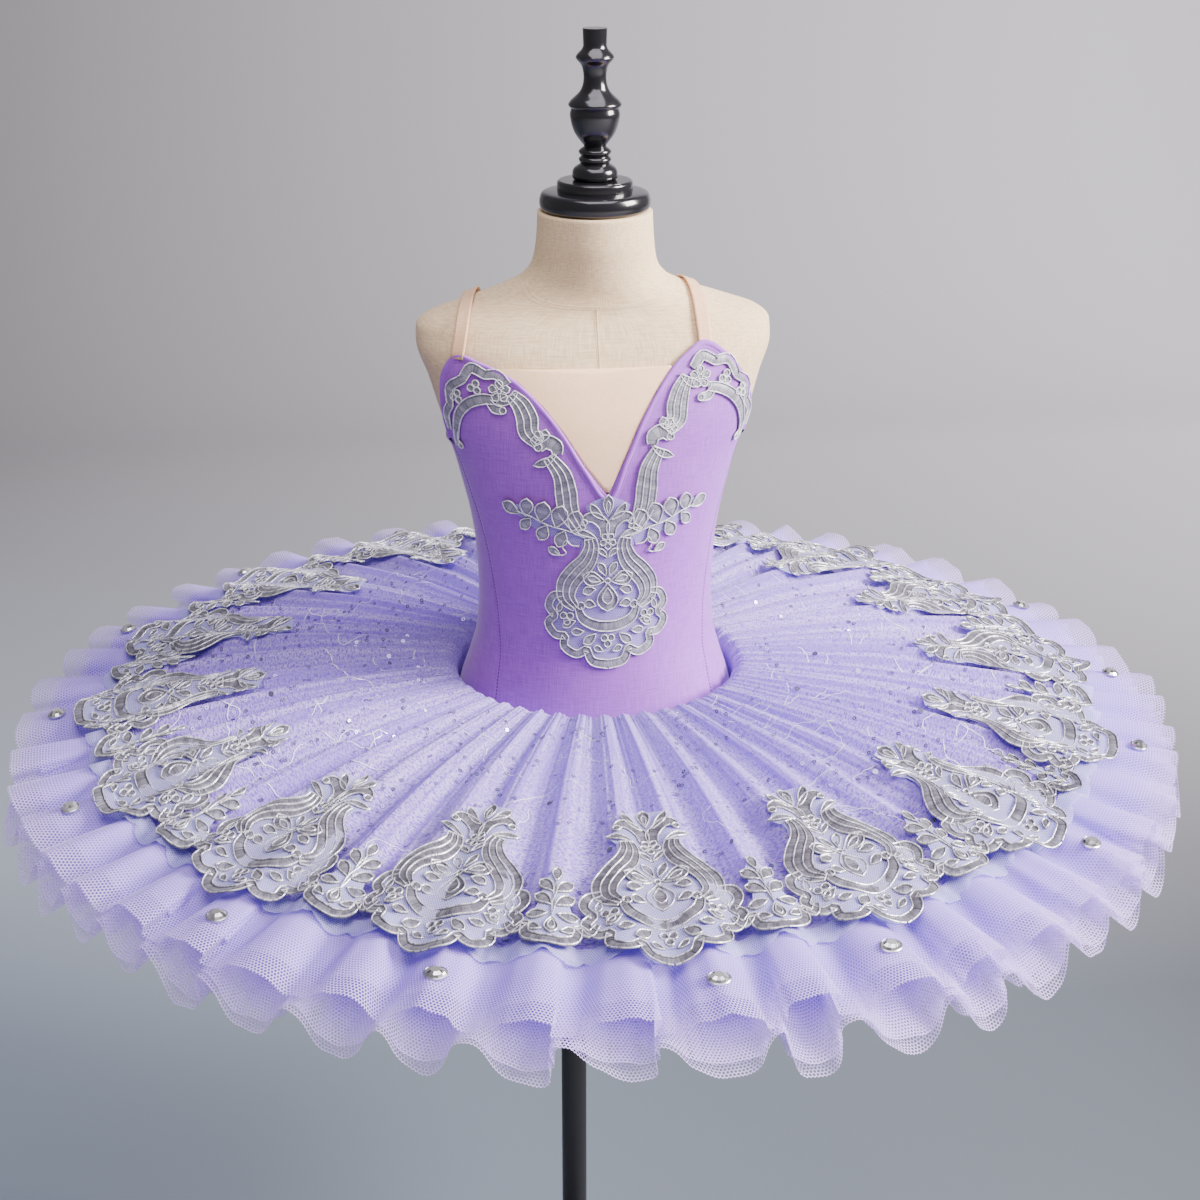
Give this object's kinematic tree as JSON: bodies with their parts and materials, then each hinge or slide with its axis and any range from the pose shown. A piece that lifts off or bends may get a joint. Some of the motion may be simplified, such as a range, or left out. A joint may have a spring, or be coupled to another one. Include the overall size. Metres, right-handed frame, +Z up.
{
  "type": "ballet tutu on a dress form",
  "caption": "Lilac pancake tutu with corded lace and stones on a padded limbless dress form with a pole and round base.",
  "frame": {"origin": "middle of the skirt's outline, on the floor under the base plate", "axes": "+Z up, -Y out of the front of the bodice, -X to the wearer's right; the pole stands at X = -0.018"},
  "size_m": [0.9102, 0.9102, 1.143],
  "materials": {
    "stand_metal": "satin black paint",
    "form_linen": "plain-woven natural linen, matt",
    "cap_black": "turned, glossy black lacquer",
    "leotard_jersey": "smooth stretch jersey with a soft sheen",
    "nude_mesh": "fine skin-toned stretch mesh, matt",
    "lilac_net": "crisp see-through net, matt",
    "silver_lace": "corded satin lace, silver grey",
    "stone": "faceted clear stone, foiled behind"
  },
  "bodies": {
    "root": {"base_plate": "stand_metal", "base_collar": "stand_metal", "pole": "stand_metal", "form_torso": "form_linen", "neck_cap": "cap_black", "finial": "cap_black", "bodice_front": "leotard_jersey", "bodice_side_right": "leotard_jersey", "bodice_side_left": "leotard_jersey", "bodice_back": "leotard_jersey", "panty_front": "leotard_jersey", "panty_back": "leotard_jersey", "panty_gusset": "leotard_jersey", "neck_binding": "leotard_jersey", "neck_insert": "nude_mesh", "strap_right": "nude_mesh", "strap_left": "nude_mesh", "skirt_overlay": "lilac_net", "ruffle_1": "lilac_net", "ruffle_2": "lilac_net", "ruffle_3": "lilac_net", "skirt_lace_01": "silver_lace", "skirt_lace_02": "silver_lace", "skirt_lace_03": "silver_lace", "skirt_lace_04": "silver_lace", "skirt_lace_05": "silver_lace", "skirt_lace_06": "silver_lace", "skirt_lace_07": "silver_lace", "skirt_lace_08": "silver_lace", "skirt_lace_09": "silver_lace", "skirt_lace_10": "silver_lace", "skirt_lace_11": "silver_lace", "skirt_lace_12": "silver_lace", "skirt_lace_13": "silver_lace", "skirt_lace_14": "silver_lace", "skirt_lace_15": "silver_lace", "skirt_lace_16": "silver_lace", "bodice_lace_crest": "silver_lace", "bodice_lace_neck_right": "silver_lace", "bodice_lace_neck_left": "silver_lace", "bodice_lace_cup_right": "silver_lace", "bodice_lace_cup_left": "silver_lace", "stone_01": "stone", "stone_02": "stone", "stone_03": "stone", "stone_04": "stone", "stone_05": "stone", "stone_06": "stone", "stone_07": "stone", "stone_08": "stone", "stone_09": "stone", "stone_10": "stone", "stone_11": "stone", "stone_12": "stone", "stone_13": "stone", "stone_14": "stone", "stone_15": "stone", "stone_16": "stone"}
  },
  "joints": []
}
